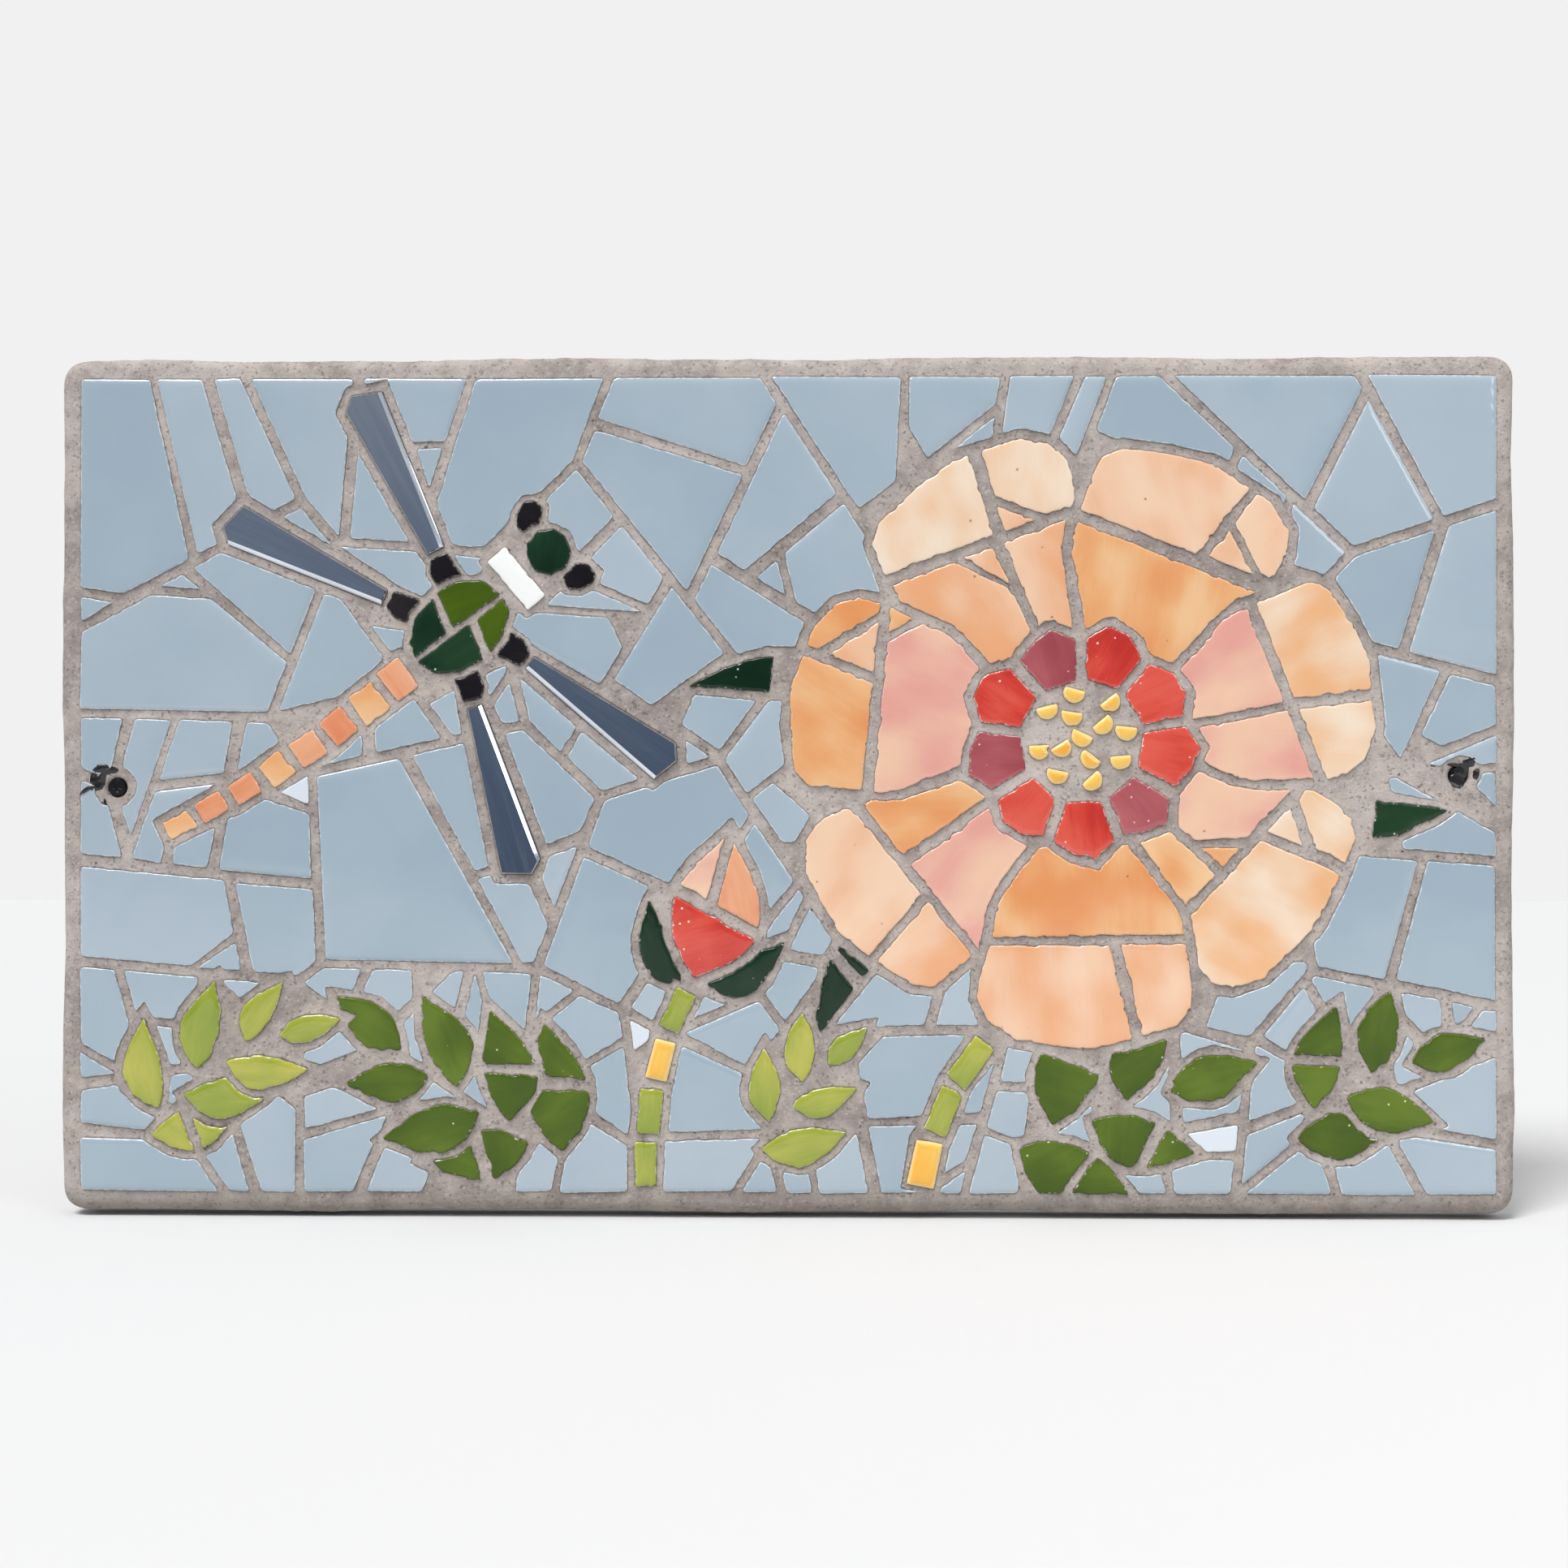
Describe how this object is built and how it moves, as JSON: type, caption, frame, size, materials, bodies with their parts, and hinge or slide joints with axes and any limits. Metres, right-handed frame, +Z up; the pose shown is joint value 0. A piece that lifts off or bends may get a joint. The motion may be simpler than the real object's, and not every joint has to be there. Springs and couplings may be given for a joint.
{
  "type": "mosaic wall panel",
  "caption": "Rectangular wall plaque of broken glazed tile and bevelled mirror in a mortar slab, with a picture of a flower, a dragonfly and leaves against a blue ground.",
  "frame": {"origin": "centre of the flat back face, where the plaque lies against the wall", "axes": "+X along the width, to the right as the picture is seen; +Y into the wall, so the picture faces -Y; +Z up"},
  "size_m": [0.6093, 0.0207, 0.3597],
  "materials": {
    "mortar": "sanded grey-beige cement mortar, struck with a finger, matt and gritty",
    "sky": "glossy blue-grey wall-tile glaze with cushioned factory edges",
    "cream": "hand-painted cream glaze with soft peach streaks and fine pits",
    "peach": "hand-painted peach glaze, softly streaked",
    "pink": "hand-painted salmon-pink glaze, softly streaked",
    "orange": "hand-painted light orange glaze with brush streaks",
    "salmon": "glossy salmon-orange glaze",
    "red": "glossy bright red glaze",
    "crimson": "glossy dusky crimson glaze",
    "yellow": "domed, glossy golden-yellow glaze",
    "lime": "glossy lime-green glaze",
    "leaf": "mid green glaze, smooth, with tiny pale specks",
    "dark_green": "glossy bottle-green glaze",
    "black": "glossy black glaze",
    "white": "glossy white glaze",
    "mirror": "silvered glass strip with ground and polished bevels",
    "screw": "blacked steel screw head, satin"
  },
  "bodies": {
    "root": {"mortar_slab": "mortar", "bud_red_1": "red", "dragonfly_body_dark_green_1": "dark_green", "dragonfly_body_leaf_1": "leaf", "dragonfly_body_white_1": "white", "dragonfly_head_dark_green_1": "dark_green", "fixing_screw_left": "screw", "fixing_screw_right": "screw", "heart_crimson_1": "crimson", "heart_crimson_2": "crimson", "heart_crimson_3": "crimson", "heart_red_1": "red", "heart_red_2": "red", "heart_red_3": "red", "heart_red_4": "red", "heart_red_5": "red", "heart_red_6": "red", "petal_cream_1": "cream", "petal_cream_2": "cream", "petal_cream_3": "cream", "petal_cream_4": "cream", "petal_cream_5": "cream", "petal_cream_6": "cream", "petal_orange_1": "orange", "petal_orange_2": "orange", "petal_orange_3": "orange", "petal_orange_4": "orange", "petal_orange_5": "orange", "petal_peach_1": "peach", "petal_peach_2": "peach", "petal_peach_3": "peach", "petal_peach_4": "peach", "petal_peach_5": "peach", "petal_peach_6": "peach", "petal_peach_7": "peach", "petal_peach_8": "peach", "petal_pink_1": "pink", "petal_pink_2": "pink", "petal_pink_3": "pink", "petal_pink_4": "pink", "petal_pink_5": "pink", "sky_1": "sky", "sky_10": "sky", "sky_11": "sky", "sky_12": "sky", "sky_13": "sky", "sky_14": "sky", "sky_2": "sky", "sky_3": "sky", "sky_4": "sky", "sky_5": "sky", "sky_6": "sky", "sky_7": "sky", "sky_8": "sky", "sky_9": "sky", "wing_mirror_1": "mirror", "wing_mirror_2": "mirror", "wing_mirror_3": "mirror", "wing_mirror_4": "mirror"}
  },
  "joints": []
}
